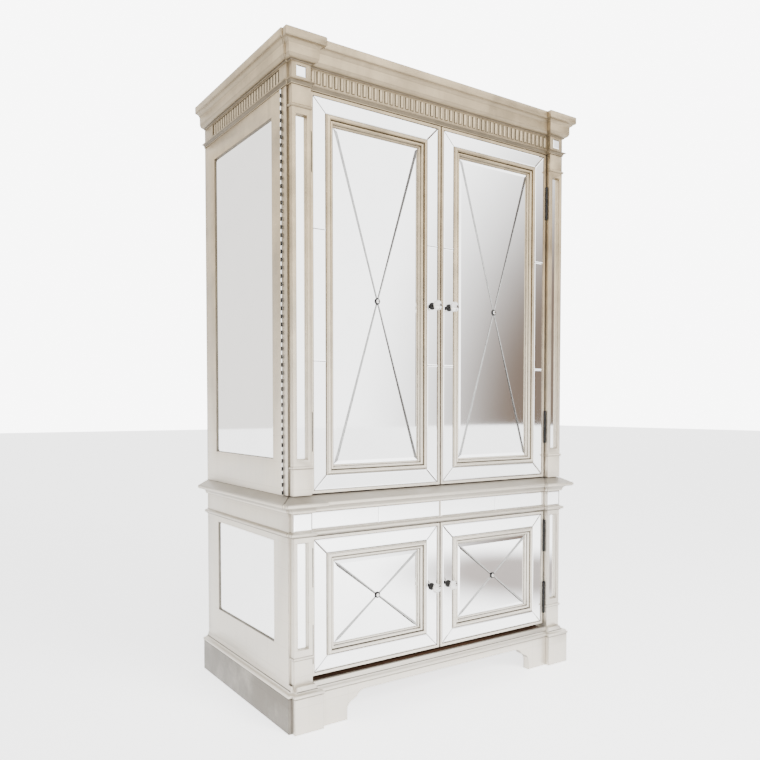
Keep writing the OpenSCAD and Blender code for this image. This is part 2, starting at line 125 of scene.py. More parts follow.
# Butt hinges: distances from the axis to each leaf, then the leaf's and the knuckle's sizes
BUTT_DOOR_SIDE = 0.001
BUTT_PILASTER_SIDE = 0.005
BUTT_THICK = 0.0016
BUTT_FROM = 0.0055
BUTT_TO = 0.0255
BUTT_TAB_BACK = 0.002
BUTT_TAB_TO = 0.0065
BUTT_GAP = 0.00015
BUTT_CHAMFER = 0.0006

# Where the camera stands in metres, where it looks in radians, and its film
CAMERA_PLACE = (-1.6717, -2.3958, 1.0260)
CAMERA_YAW = 0.5961
CAMERA_PITCH = -0.0353
CAMERA_SHIFT = 0.070
FILM_WIDTH = 36.0

# The patch of painted shade on the floor, hidden from the camera
REFLECTED_SHADE_CENTRE = (1.6, -1.5, 0.0)
REFLECTED_SHADE_RADIUS = 1.0
REFLECTED_SHADE_CORE = 0.3

# Angles in degrees between faces
LEAF_CREASE = 38.0
DOOR_CREASE = 34.0
GLASS_CREASE = 5.0
SHARP_EDGE = 42.0
ROUND_CORNER = 25.0
VALLEY_BEND = 19.0
FLAT_JOIN = 0.5


# Sizes and colours that may be changed


class CaseSettings(bpy.types.PropertyGroup):
    """Edges and colours of the leafed case"""

    edge: FloatProperty(
        name="Edge Rounding", description="Width of the rounding along every board's edge",
        default=0.0009, min=0.0002, max=0.003, unit="LENGTH")
    leaf: FloatVectorProperty(
        name="Leaf Colour", description="Colour of the silver leaf",
        default=(0.36, 0.285, 0.18), size=3, min=0.0, max=1.0, subtype="COLOR")
    # Painted light: this lighter, greyer leaf colour is blended in towards the bottom of the case
    lower_painted_light: FloatVectorProperty(
        name="Fresh Leaf Colour", description="Greyer colour of the cleaner leaf low on the case",
        default=(0.64, 0.61, 0.55), size=3, min=0.0, max=1.0, subtype="COLOR")
    ground: FloatVectorProperty(
        name="Ground Colour", description="Brown ground that shows where the leaf has rubbed through",
        default=(0.10, 0.062, 0.034), size=3, min=0.0, max=1.0, subtype="COLOR")
    # This colour is laid as dark glaze in valleys and as painted shade on undersides, reed flanks, mirror
    # gaps and the plinth's sides
    grime: FloatVectorProperty(
        name="Grime Colour", description="Olive brown that lies in the mouldings' valleys",
        default=(0.016, 0.010, 0.004), size=3, min=0.0, max=1.0, subtype="COLOR")
    lap: FloatProperty(
        name="Leaf Size", description="Side of one square of leaf",
        default=0.085, min=0.04, max=0.14, unit="LENGTH")
    stain: FloatVectorProperty(
        name="Stain Colour", description="Colour of the stained boards inside the case",
        default=(0.045, 0.022, 0.012), size=3, min=0.0, max=1.0, subtype="COLOR")


class DoorSettings(bpy.types.PropertyGroup):
    """Moulding and mirrors of the doors"""

    thickness: FloatProperty(
        name="Door Thickness", description="Thickness of a door's frame",
        default=0.022, min=0.018, max=0.026, unit="LENGTH")
    moulding: FloatProperty(
        name="Moulding Width", description="Width of the moulding between border and centre mirror",
        default=0.032, min=0.02, max=0.045, unit="LENGTH")
    split: FloatProperty(
        name="Border Split", description="Distance of the tall border joints from the middle of the door",
        default=0.210, min=0.1, max=0.4, unit="LENGTH")
    gap: FloatProperty(
        name="Mirror Gap", description="Gap left round each border mirror",
        default=0.0011, min=0.0002, max=0.002, unit="LENGTH")
    plate_bevel: FloatProperty(
        name="Border Bevel", description="Width of the bevel round a border mirror",
        default=0.003, min=0.0005, max=0.01, unit="LENGTH")
    centre_bevel: FloatProperty(
        name="Centre Bevel", description="Width of the bevel round a centre mirror",
        default=0.011, min=0.002, max=0.025, unit="LENGTH")
    groove: FloatProperty(
        name="Groove Width", description="Half width of the cross grooves in a centre mirror",
        default=0.0034, min=0.001, max=0.008, unit="LENGTH")


class FittingSettings(bpy.types.PropertyGroup):
    """Reeds, hinges and knobs"""

    front_reeds: IntProperty(
        name="Front Reeds", description="Number of reeds across the front", default=49, min=10, max=80)
    side_reeds: IntProperty(
        name="Side Reeds", description="Number of reeds along each side", default=26, min=5, max=50)
    reed_radius: FloatProperty(
        name="Reed Radius", description="Radius of a reed's rounded face",
        default=0.0085, min=0.004, max=0.012, unit="LENGTH")
    knuckle_pitch: FloatProperty(
        name="Knuckle Pitch", description="Spacing of one leaf's knuckles on the piano hinge",
        default=0.0254, min=0.02, max=0.03, unit="LENGTH")
    piano_radius: FloatProperty(
        name="Piano Knuckle Radius", description="Radius of the piano hinge's knuckles",
        default=0.0025, min=0.002, max=0.0035, unit="LENGTH")
    butt_length: FloatProperty(
        name="Butt Hinge Length", description="Length of a butt hinge",
        default=0.127, min=0.08, max=0.15, unit="LENGTH")
    butt_radius: FloatProperty(
        name="Butt Knuckle Radius", description="Radius of a butt hinge's knuckles",
        default=0.004, min=0.003, max=0.006, unit="LENGTH")


class StageSettings(bpy.types.PropertyGroup):
    """Floor, light and camera"""

    sky: FloatProperty(
        name="Sky Strength", description="Strength of the soft light all round",
        default=0.9, min=0.0, max=5.0)
    reflected: FloatProperty(
        name="Reflected Strength", description="Strength of the sky that the mirrors show",
        default=4.2, min=0.0, max=12.0)
    backdrop: FloatProperty(
        name="Backdrop Strength", description="Strength of the plain white behind the armoire",
        default=8.0, min=0.0, max=20.0)
    glow: FloatProperty(
        name="Floor Glow", description="Light given off by the studio floor",
        default=2.8, min=0.0, max=5.0)
    floor: FloatVectorProperty(
        name="Floor Colour", description="Colour of the plain floor",
        default=(0.90, 0.90, 0.90), size=3, min=0.0, max=1.0, subtype="COLOR")
    lens: FloatProperty(
        name="Lens", description="Focal length of the camera in millimetres",
        default=35.05, min=15.0, max=120.0)


# Shader building


class Wire:
    """A shader socket that arithmetic can be written on"""

    def __init__(self, finish, socket):
        self.finish = finish
        self.socket = socket

    def _sum(self, operation, first, second):
        return self.finish.node("ShaderNodeMath", {"operation": operation}, {0: first, 1: second})

    def __add__(self, other):
        return self._sum("ADD", self, other)

    def __radd__(self, other):
        return self._sum("ADD", other, self)

    def __sub__(self, other):
        return self._sum("SUBTRACT", self, other)

    def __rsub__(self, other):
        return self._sum("SUBTRACT", other, self)

    def __mul__(self, other):
        return self._sum("MULTIPLY", self, other)

    def __rmul__(self, other):
        return self._sum("MULTIPLY", other, self)


class Finish:
    """A material or a world while its nodes are being laid out"""

    def __init__(self, owner):
        owner.use_nodes = True
        self.owner = owner
        self.tree = owner.node_tree
        self.tree.nodes.clear()

    def node(self, kind, settings=None, sockets=None, out=0):
        """Adds a node, makes its settings, then fills its sockets, and gives one output."""
        made = self.tree.nodes.new(kind)
        for key, value in (settings or {}).items():
            if key == "stops":
                while len(made.color_ramp.elements) < len(value):
                    made.color_ramp.elements.new(0.5)
                for element, (place, colour) in zip(made.color_ramp.elements, value):
                    element.position = place
                    element.color = (*colour, 1.0)
            else:
                setattr(made, key, value)
        for key, value in (sockets or {}).items():
            socket = made.inputs[key]
            if isinstance(value, Wire):
                self.tree.links.new(value.socket, socket)
            elif isinstance(value, (tuple, list)) and socket.type == "RGBA" and len(value) == 3:
                socket.default_value = (*value, 1.0)
            else:
                socket.default_value = value
        return Wire(self, made.outputs[out]) if made.outputs else None

    def place(self, scale=(1.0, 1.0, 1.0)):
        """The piece's own coordinates in metres, stretched by scale."""
        own = self.node("ShaderNodeTexCoord", out="Object")
        return self.node("ShaderNodeMapping", None, {"Vector": own, "Scale": scale})

    def noise(self, scale, detail=3.0, roughness=0.5, stretch=(1.0, 1.0, 1.0)):
        return self.node("ShaderNodeTexNoise", None, {
            "Vector": self.place(stretch), "Scale": scale, "Detail": detail, "Roughness": roughness})

    def ramp(self, value, stops):
        return self.node("ShaderNodeValToRGB", {"stops": stops}, {"Fac": value})

    def between(self, value, low, high, to_low=0.0, to_high=1.0):
        return self.node("ShaderNodeMapRange", {"interpolation_type": "SMOOTHSTEP"}, {
            "Value": value, "From Min": low, "From Max": high, "To Min": to_low, "To Max": to_high})

    def blend(self, amount, first, second):
        return self.node("ShaderNodeMix", {"data_type": "RGBA"}, {0: amount, 6: first, 7: second}, 2)

    def axes(self, vector):
        """The three parts of a vector."""
        return [self.node("ShaderNodeSeparateXYZ", None, {0: vector}, axis) for axis in "XYZ"]

    def attribute(self, name):
        return self.node("ShaderNodeAttribute", {"attribute_name": name}, None, "Fac")

    def bump(self, height, strength, distance):
        return self.node("ShaderNodeBump", None, {
            "Height": height, "Strength": strength, "Distance": distance})

    def surface(self, **sockets):
        """Ends the material in one Principled surface; underscores stand for spaces."""
        filled = {key.replace("_", " "): value for key, value in sockets.items()}
        shader = self.node("ShaderNodeBsdfPrincipled", None, filled)
        self.node("ShaderNodeOutputMaterial", None, {"Surface": shader})
        return self.owner


def shade(value, amount):
    """A colour made lighter or darker by one factor."""
    return tuple(min(1.0, part * amount) for part in value)


def silver_leaf():
    """Aged champagne leaf in lapped squares, rubbed through to brown along edges, painted lighter towards the
    bottom, with dark glaze and painted shade in valleys.
    """
    case = bpy.context.scene.armoire_case
    finish = Finish(bpy.data.materials.new("aged_silver_leaf"))
    leaf, ground = tuple(case.leaf), tuple(case.ground)
    cloud = finish.noise(7.0, 5.0, 0.6)
    fine = finish.noise(150.0, 4.0, 0.6)
    streak = finish.noise(20.0, 4.0, 0.55, (1.0, 1.0, 0.18))
    along, deep, height = finish.axes(finish.place())
    sheet = finish.node("ShaderNodeCombineXYZ", None, {0: along + deep, 1: height})
    laps = finish.node("ShaderNodeTexBrick", {"offset": 0.0}, {
        "Vector": sheet, "Scale": 1.0, "Mortar Size": 0.0011, "Mortar Smooth": 0.6,
        "Brick Width": case.lap, "Row Height": case.lap}, "Fac")
    tone = finish.ramp(cloud, [(0.32, shade(leaf, 0.72)), (0.5, leaf), (0.68, shade(leaf, 1.25))])
    tone = finish.blend(finish.between(streak, 0.48, 0.75, 0.0, 0.45), tone, shade(leaf, 0.62))
    # Painted light: the leaf turns lighter and greyer towards the bottom of the case
    tone = finish.blend(finish.between(height, 1.75, 0.35, 0.0, 0.75), tone, tuple(case.lower_painted_light))
    tone = finish.blend(laps * 0.22, tone, shade(leaf, 0.70))
    rub = finish.attribute("wear") * finish.between(finish.noise(38.0, 3.0, 0.6), 0.30, 0.62, 0.35, 1.0)
    specks = finish.between(fine, 0.68, 0.76, 0.0, 0.5)
    bare = finish.node("ShaderNodeMath", {"operation": "MAXIMUM"}, {0: rub * 0.75, 1: specks})
    tone = finish.blend(bare, tone, ground)
    # Grime layer: dark glaze in valleys, and painted shade in valleys, on undersides, between reeds, in
    # mirror gaps and on the plinth's sides
    grime = finish.attribute("grime") * finish.between(cloud, 0.20, 0.60, 0.62, 0.92)
    tone = finish.blend(grime, tone, tuple(case.grime))
    rough = 0.28 + cloud * 0.16 + bare * 0.25 + grime * 0.2
    relief = fine * 0.35 + laps * 0.5 + streak * 0.4
    return finish.surface(
        Base_Color=tone, Metallic=0.78 - bare * 0.55 - grime * 0.35, Roughness=rough,
        Normal=finish.bump(relief, 0.30, 0.0008))


def mirror_glass():
    """Silvered glass with a faint roll in its face and small age spots near the silvering."""
    finish = Finish(bpy.data.materials.new("silvered_mirror"))
    roll = finish.noise(2.6, 1.0, 0.4)
    haze = finish.noise(11.0, 4.0, 0.6)
    spots = finish.node("ShaderNodeTexVoronoi", {"feature": "F1"}, {
        "Vector": finish.place(), "Scale": 46.0}, "Distance")
    spot = finish.between(spots, 0.055, 0.02) * finish.between(haze, 0.56, 0.66)
    tone = finish.blend(finish.between(haze, 0.40, 0.75, 0.0, 0.35), (0.945, 0.95, 0.95), (0.88, 0.885, 0.89))
    tone = finish.blend(spot * 0.7, tone, (0.22, 0.19, 0.15))
    return finish.surface(
        Base_Color=tone, Metallic=1.0, Roughness=0.025 + haze * 0.02 + spot * 0.3,
        Normal=finish.bump(roll, 0.25, 0.0012))


def cut_glass():
    """Ground slopes of the cross grooves."""
    finish = Finish(bpy.data.materials.new("cut_mirror_edge"))
    grind = finish.noise(420.0, 2.0, 0.5, (1.0, 1.0, 0.15))
    tone = finish.ramp(grind, [(0.3, (0.20, 0.20, 0.19)), (0.7, (0.34, 0.34, 0.33))])
    return finish.surface(
        Base_Color=tone, Metallic=0.92, Roughness=0.14 + grind * 0.12,
        Normal=finish.bump(grind, 0.15, 0.0002))


def stained_wood():
    """Dark stained boards with their grain along the case's width."""
    case = bpy.context.scene.armoire_case
    stain = tuple(case.stain)
    finish = Finish(bpy.data.materials.new("stained_boards"))
    figure = finish.noise(5.0, 4.0, 0.55, (0.35, 9.0, 2.2))
    grain = finish.noise(60.0, 5.0, 0.6, (0.12, 3.0, 1.2))
    tone = finish.ramp(figure, [(0.3, shade(stain, 0.6)), (0.5, stain), (0.75, shade(stain, 1.7))])
    pores = finish.between(grain, 0.58, 0.70, 0.0, 0.7)
    tone = finish.blend(pores, tone, shade(stain, 0.35))
    tone = finish.blend(finish.attribute("wear") * 0.35, tone, shade(stain, 2.4))
    return finish.surface(
        Base_Color=tone, Roughness=0.42 + grain * 0.2, Normal=finish.bump(pores, 0.35, 0.0004))


def black_oxide():
    """Black hinge metal, rubbed grey along its edges."""
    finish = Finish(bpy.data.materials.new("black_hinge_metal"))
    grime = finish.noise(70.0, 4.0, 0.6)
    tone = finish.ramp(grime, [(0.35, (0.004, 0.004, 0.004)), (0.7, (0.012, 0.011, 0.010))])
    rub = finish.attribute("wear") * finish.between(grime, 0.45, 0.62)
    tone = finish.blend(rub, tone, (0.30, 0.29, 0.28))
    return finish.surface(
        Base_Color=tone, Metallic=rub * 0.6, Roughness=0.42 + grime * 0.18, Specular_IOR_Level=0.18,
        Normal=finish.bump(grime, 0.15, 0.0002))


def brushed_nickel():
    """Nickel plate with fine upright brushing and dark dirt."""
    finish = Finish(bpy.data.materials.new("brushed_nickel"))
    brush = finish.noise(300.0, 2.0, 0.5, (1.0, 1.0, 0.03))
    darkening = finish.noise(26.0, 4.0, 0.65)
    tone = finish.ramp(brush, [(0.3, (0.56, 0.55, 0.53)), (0.7, (0.74, 0.73, 0.71))])
    tone = finish.blend(finish.between(darkening, 0.54, 0.72, 0.0, 0.6), tone, (0.20, 0.17, 0.13))
    return finish.surface(
        Base_Color=tone, Metallic=0.95, Roughness=0.22 + brush * 0.14,
        Normal=finish.bump(brush, 0.12, 0.0001))


def polished_nickel():
    """Polished nickel of knobs and rosettes, faintly hazed."""
    finish = Finish(bpy.data.materials.new("polished_nickel"))
    haze = finish.noise(55.0, 4.0, 0.6)
    tone = finish.ramp(haze, [(0.35, (0.50, 0.485, 0.46)), (0.7, (0.66, 0.65, 0.63))])
    return finish.surface(
        Base_Color=tone, Metallic=1.0, Roughness=0.07 + haze * 0.10,
        Normal=finish.bump(haze, 0.05, 0.0001))


MAKERS = {
    "silver_leaf": silver_leaf, "mirror_glass": mirror_glass, "cut_glass": cut_glass,
    "case_wood": stained_wood, "black_hinge": black_oxide, "bright_steel": brushed_nickel,
    "knob_metal": polished_nickel}
FINISHES = {}


def finish_for(slot):
    """The material of a slot, made once."""
    if slot not in FINISHES:
        FINISHES[slot] = MAKERS[slot]()
    return FINISHES[slot]


# Mesh building


def arc(cx, cy, radius, start, end, steps):
    """Points of an arc in a profile, angles in degrees."""
    angles = [math.radians(start + (end - start) * i / steps) for i in range(steps + 1)]
    return [(cx + radius * math.cos(angle), cy + radius * math.sin(angle)) for angle in angles]


def softened(points, radius):
    """Rounds an outline's sharp corners; points come back with 1 on worn edges and -1 in valleys."""
    area = sum(a[0] * b[1] - b[0] * a[1] for a, b in zip(points, points[1:] + points[:1]))
    made = []
    for i, here in enumerate(points):
        here, before, after = Vector(here), Vector(points[i - 1]), Vector(points[(i + 1) % len(points)])
        way_in, way_out = here - before, after - here
        bend = way_in.angle_signed(way_out, 0.0)
        if abs(bend) < math.radians(ROUND_CORNER) or min(way_in.length, way_out.length) < radius * 1.2:
            made.append((here.x, here.y, 0.0))
            continue
        reach = min(radius, way_in.length * 0.35, way_out.length * 0.35)
        start, end = here - way_in.normalized() * reach, here + way_out.normalized() * reach
        middle = start * 0.25 + here * 0.5 + end * 0.25
        wear = 1.0 if (bend > 0) != (area > 0) else -1.0
        guard_wear = min(wear, 0.0)
        if way_in.length > reach * 4:
            guard = here - way_in.normalized() * reach * 2
            made.append((guard.x, guard.y, guard_wear))
        made += [(p.x, p.y, wear) for p in (start, middle, end)]
        if way_out.length > reach * 4:
            guard = here + way_out.normalized() * reach * 2
            made.append((guard.x, guard.y, guard_wear))
    return made


def wear_layer(bm):
    """The faces' wear: 1 on a rounded edge, and -1 in a valley until mark_grime_and_painted_shade has run."""
    return bm.faces.layers.float.get("wear") or bm.faces.layers.float.new("wear")


def bridge(bm, loops, closed_up=True, wears=None):
    """Joins successive rings of corners with faces; each ring goes round."""
    layer = wear_layer(bm)
    pairs = list(zip(loops, loops[1:])) + ([(loops[-1], loops[0])] if closed_up else [])
    for n, (low, high) in enumerate(pairs):
        for i in range(len(low)):
            j = (i + 1) % len(low)
            corners = [low[i], low[j], high[j], high[i]]
            kept = [c for k, c in enumerate(corners) if c is not corners[k - 1]]
            if len(kept) > 2:
                made = bm.faces.new(kept)
                pair = (wears[n], wears[(n + 1) % len(wears)]) if wears else (0.0, 0.0)
                made[layer] = max(pair) if max(pair) < 0 else min(pair) if min(pair) > 0 else 0.0


def frame_round(bm, box, outline):
    """Sweeps an outline of (inwards, y, wear) round an upright rectangle (x0, x1, z0, z1)."""
    x0, x1, z0, z1 = box
    loops = []
    for inset, y, _ in outline:
        loops.append([bm.verts.new(p) for p in (
            (x0 + inset, y, z0 + inset), (x1 - inset, y, z0 + inset),
            (x1 - inset, y, z1 - inset), (x0 + inset, y, z1 - inset))])
    bridge(bm, loops, wears=[wear for _, _, wear in outline])


def block(bm, low, high, edge=0.0):
    """A board between two corners; its edges may be eased and marked as worn."""
    made = bmesh.ops.create_cube(bm, size=1.0)["verts"]
    middle, span = (low + high) / 2, high - low
    for vert in made:
        vert.co = Vector(middle[i] + vert.co[i] * span[i] for i in range(3))
    if edge > 0:
        round_edges(bm, {e for v in made for e in v.link_edges}, edge, 1)


def round_edges(bm, edges, width, segments):
    """Rounds edges and marks the new faces as worn."""
    layer = wear_layer(bm)
    made = bmesh.ops.bevel(
        bm, geom=list(edges), offset=width, segments=segments, profile=0.5, affect="EDGES",
        clamp_overlap=True)
    for face in made["faces"]:
        face[layer] = 1.0


def inset_outline(points, distance):
    """Moves each side of a convex outline inwards by distance; the outline goes anticlockwise."""
    count = len(points)
    lines = []
    for i in range(count):
        a, b = Vector(points[i]), Vector(points[(i + 1) % count])
        way = (b - a).normalized()
        lines.append((a + Vector((-way.y, way.x)) * distance, way))
    made = []
    for i in range(count):
        (p, d), (q, e) = lines[i - 1], lines[i]
        across = d.x * e.y - d.y * e.x
        t = ((q.x - p.x) * e.y - (q.y - p.y) * e.x) / across
        made.append(p + d * t)
    return made


def plate(bm, outline, front, thickness, bevel, drop, tilt=(0.0, 0.0)):
    """A glass plate facing the front: flat face, bevel of a given width and drop, edge and back."""
    inner = inset_outline(outline, bevel)
    middle = sum((Vector(p) for p in outline), Vector((0.0, 0.0))) / len(outline)

    def ring(points, y, leaning):
        made = []
        for p in points:
            lean = tilt[0] * (p[0] - middle.x) + tilt[1] * (p[1] - middle.y)
            made.append(bm.verts.new((p[0], y + lean * leaning, p[1])))
        return made

    face = ring(inner, front, 1.0)
    slope = ring(outline, front + drop, 1.0)
    back = ring(outline, front + thickness, 0.0)
    bridge(bm, [face, slope, back], closed_up=False)
    bm.faces.new(face)
    bm.faces.new(back)


def lathe(bm, centre, outline, steps, shade_painted_until):
    """Turns (radius, forwards) points round an axis to the front; further forwards is polished."""
    loops = []
    for radius, forwards in outline:
        if radius == 0:
            tip = bm.verts.new((centre.x, centre.y - forwards, centre.z))
            loops.append([tip] * steps)
        else:
            loops.append([bm.verts.new((
                centre.x + radius * math.cos(math.tau * i / steps), centre.y - forwards,
                centre.z + radius * math.sin(math.tau * i / steps))) for i in range(steps)])
    bridge(bm, loops, closed_up=False)
    for face in bm.faces:
        if centre.y - face.calc_center_median().y > shade_painted_until:
            face.material_index = 1


def post(bm, radius, low, high, steps, chamfer):
    """A short upright knuckle on the axis x 0, y 0, with chamfered ends."""
    rings = ((radius - chamfer, low), (radius, low + chamfer),
             (radius, high - chamfer), (radius - chamfer, high))
    turns = [math.tau * i / steps for i in range(steps)]
    loops = [[bm.verts.new((wide * math.cos(turn), wide * math.sin(turn), z)) for turn in turns]
             for wide, z in rings]
    bridge(bm, loops, closed_up=False)
    bm.faces.new(loops[0])
    bm.faces.new(loops[-1])


def seal(bm):
    """Turns every face outwards."""
    bmesh.ops.recalc_face_normals(bm, faces=bm.faces)


def mark_grime_and_painted_shade(bm):
    """Marks grime and painted shade: narrow faces in valleys get dark glaze that is partly painted shade,
    undersides get painted shade, and a negative wear turns into the same mark.
    """
    layer = bm.faces.layers.float.get("grime") or bm.faces.layers.float.new("grime")
    worn = wear_layer(bm)
    for face in bm.faces:
        if face[worn] < 0:
            face[layer], face[worn] = 1.0, 0.0
            continue
        # Painted shade: undersides are darkened
        if face.normal.z < -0.35:
            face[layer] = max(face[layer], 0.5)
        longest = max(line.calc_length() for line in face.edges)
        width = face.calc_area() / longest
        if face[worn] > 0 or longest < VALLEY_WIDTH * 2 or width > VALLEY_WIDTH:
            continue
        # Valleys: dark glaze that is partly painted shade
        bend = math.radians(VALLEY_BEND)
        valleys = [line for line in face.edges if line.is_manifold and not line.is_convex
                   and line.calc_face_angle(0.0) > bend and line.calc_length() > longest * 0.5]
        if valleys:
            face[layer] = max(face[layer], 0.9)


def add_piece(name, bm, nodes, finishes=None, crease=LEAF_CREASE):
    """Makes the object, gives it its finish, and puts it in place of its CAD nodes."""
    mark_grime_and_painted_shade(bm)
    for face in bm.faces:
        face.smooth = True
    for line in bm.edges:
        line.smooth = len(line.link_faces) == 2 and line.calc_face_angle(0.0) < math.radians(crease)
    mesh = bpy.data.meshes.new(name)
    bm.to_mesh(mesh)
    bm.free()
    slot = SLOTS[nodes[0]]
    for finish in finishes or [finish_for(slot)]:
        mesh.materials.append(finish)
    made = bpy.data.objects.new(name, mesh)
    bpy.context.scene.collection.objects.link(made)
    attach(made, frame["nodes"][nodes[0]]["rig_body"])
    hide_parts(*nodes)


def merged_copy(node):
    """A copy of a CAD node's mesh with its loose triangles joined."""
    bm = bmesh.new()
    bm.from_mesh(frame["nodes"][node].data)
    bmesh.ops.remove_doubles(bm, verts=bm.verts, dist=MERGE)
    return bm


def dress(node, edge, darkening=0.0):
    """Rounds a CAD node's sharp outer edges, marks them as worn, and darkens the whole piece by the given
    amount, which on some pieces is painted shade.
    """
    bm = merged_copy(node)
    bmesh.ops.dissolve_limit(bm, angle_limit=math.radians(FLAT_JOIN), verts=bm.verts, edges=bm.edges)
    limit = math.radians(SHARP_EDGE)
    outer = [e for e in bm.edges if e.is_manifold and e.is_convex and e.calc_face_angle(0.0) > limit]
    if edge > 0:
        round_edges(bm, outer, edge, 2)
    layer = bm.faces.layers.float.new("grime")
    for face in bm.faces:
        face[layer] = max(darkening, LYING.get(node, 0.0) if face.normal.z > 0.3 else 0.0)
    add_piece(f"{node}_dressed", bm, [node])


def row_tree():
    """A node tree that repeats the mesh it is put on along a line."""
    tree = bpy.data.node_groups.get("Row of Like Parts")
    if tree:
        return tree
    tree = bpy.data.node_groups.new("Row of Like Parts", "GeometryNodeTree")
    for name, kind in (("Part", "Geometry"), ("Count", "Int"), ("Step", "Vector"), ("Finish", "Material")):
        tree.interface.new_socket(name, in_out="INPUT", socket_type=f"NodeSocket{kind}")
    tree.interface.new_socket("Row", in_out="OUTPUT", socket_type="NodeSocketGeometry")
    given = tree.nodes.new("NodeGroupInput")
    line = tree.nodes.new("GeometryNodeMeshLine")
    copies = tree.nodes.new("GeometryNodeInstanceOnPoints")
    real = tree.nodes.new("GeometryNodeRealizeInstances")
    paint = tree.nodes.new("GeometryNodeSetMaterial")
    result = tree.nodes.new("NodeGroupOutput")
    for source, output, target, socket in (
            (given, "Count", line, "Count"), (given, "Step", line, "Offset"),
            (line, "Mesh", copies, "Points"), (given, "Part", copies, "Instance"),
            (copies, "Instances", real, "Geometry"), (real, "Geometry", paint, "Geometry"),
            (given, "Finish", paint, "Material"), (paint, "Geometry", result, "Row")):
        tree.links.new(source.outputs[output], target.inputs[socket])
    return tree


def add_row(target, part, start, count, step, slot):
    """Repeats the mesh in part along a line and adds the result, moved to start, to target."""
    mesh = bpy.data.meshes.new("row_part")
    part.to_mesh(mesh)
    part.free()
    carrier = bpy.data.objects.new("row_carrier", mesh)
    bpy.context.scene.collection.objects.link(carrier)
    modifier = carrier.modifiers.new("Row", "NODES")
    modifier.node_group = row_tree()
    sockets = {item.name: item.identifier for item in modifier.node_group.interface.items_tree
               if item.in_out == "INPUT"}
    for name, value in (("Count", count), ("Step", step), ("Finish", finish_for(slot))):
        modifier[sockets[name]] = value
    depsgraph = bpy.context.evaluated_depsgraph_get()
    made = bpy.data.meshes.new_from_object(carrier.evaluated_get(depsgraph))
    carrier.modifiers.remove(modifier)
    bpy.data.objects.remove(carrier)
    made.transform(Matrix.Translation(start))
    target.from_mesh(made)
    bpy.data.meshes.remove(made)


# Pieces

# Each leafed piece with the darkening spread all over it: painted shade on the plinth's sides and on the
# frieze board between the reeds, a darker tone on the rest
LEAFED = {"crown_moulding": 0.16, "frieze_board": 0.30, "frieze_bead": 0.16, "upper_side_frames": 0.03,
          "waist_moulding": 0.10, "lower_top_board": 0.1, "lower_frieze_rail": 0.05, "lower_bead": 0.12,
          "lower_side_frames": 0.10, "lower_pilasters": 0.04, "base_cap_moulding": 0.06, "plinth_front": 0.0,
          "plinth_sides": 0.85}
# Dirt that lies on upward faces
LYING = {"waist_moulding": 0.5, "lower_top_board": 0.4}
INSIDE = ["dust_top", "ceiling_board", "back_panels", "upper_floor_board", "shelves", "shelf_cleats",
          "lower_floor_board"]


def tall_door(door):
    low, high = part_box(f"{door}_door")
    return high.z - low.z > 1.0


def build_door_frame(door):
    """Lip, mirror pocket, moulding and back board of one door."""
    doors, case = bpy.context.scene.armoire_doors, bpy.context.scene.armoire_case
    low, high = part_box(f"{door}_door")
    glass_low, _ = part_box(f"{door}_border_mirrors")
    centre_low, centre_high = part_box(f"{door}_centre_mirror")
    front = high.y - doors.thickness
    lip = glass_low.x - low.x - MIRROR_PLAY
    start = centre_low.x - low.x - doors.moulding - MIRROR_PLAY
    k = doors.moulding / MOULDING_DRAWN
    shape = [(0, -4), (0, 0.6), (1.6, 2)] + arc(9, -1, 7, 150, 40, 9) + [(15, -2), (16.5, -4.2)]
    shape += arc(21, -4, 4.5, 165, 10, 9) + [(26, -8), (32, -12.2)]
    moulding = [(start + x * MM * k, front - y * MM) for x, y in shape]
    seat = front + POCKET_DEPTH
    outline = [(0.0, high.y), (0.0, front), (lip, front), (lip, seat)] + [(start, seat)] + moulding[1:]
    inner = start + doors.moulding
    outline += [(inner, high.y)]
    bm = bmesh.new()
    frame_round(bm, (low.x, high.x, low.z, high.z), softened(outline, case.edge))
    block(bm, Vector((low.x + inner, centre_high.y, low.z + inner)),
          Vector((high.x - inner, high.y - PANEL_STEP, high.z - inner)))
    seal(bm)
    # Painted shade: the pocket's floor, seen in the gaps round the border mirrors, is darkened
    darkening = bm.faces.layers.float.new("grime")
    for face in bm.faces:
        if abs(face.calc_center_median().y - seat) < PANEL_STEP:
            face[darkening] = 1.0
    add_piece(f"{door}_frame", bm, [f"{door}_door"], crease=DOOR_CREASE)


def build_border(door):
    """Border mirrors: mitred plates, the tall ones in three lengths."""
    doors = bpy.context.scene.armoire_doors
    low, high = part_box(f"{door}_border_mirrors")
    centre_low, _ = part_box(f"{door}_centre_mirror")
    width = centre_low.x - low.x - doors.moulding - 2 * MIRROR_PLAY
    x0, x1, z0, z1 = low.x, high.x, low.z, high.z
    middle = (z0 + z1) / 2
    cuts = [middle - doors.split, middle + doors.split] if tall_door(door) else []
    shapes = [[(x0, z0), (x1, z0), (x1 - width, z0 + width), (x0 + width, z0 + width)],
              [(x0 + width, z1 - width), (x1 - width, z1 - width), (x1, z1), (x0, z1)]]
    for outer, inner in ((x0, x0 + width), (x1, x1 - width)):
        levels = [z0, *cuts, z1]
        for i, (a, b) in enumerate(zip(levels, levels[1:])):
            a_in = a + width if i == 0 else a
            b_in = b - width if i == len(levels) - 2 else b
            shape = [(outer, a), (inner, a_in), (inner, b_in), (outer, b)]
            shapes.append(shape if outer < inner else shape[::-1])
    lean = random.Random(DOORS.index(door) + 11)
    front, thickness = low.y + MIRROR_PLAY, high.y - low.y - MIRROR_PLAY
    bm = bmesh.new()
    for shape in shapes:
        tilt = (lean.uniform(-SIDE_LEAN, SIDE_LEAN), lean.uniform(-UP_LEAN, UP_LEAN))
        outline = inset_outline(shape, doors.gap)
        plate(bm, outline, front, thickness, doors.plate_bevel, BORDER_DROP, tilt)
    seal(bm)
    add_piece(f"{door}_border", bm, [f"{door}_border_mirrors"], crease=GLASS_CREASE)


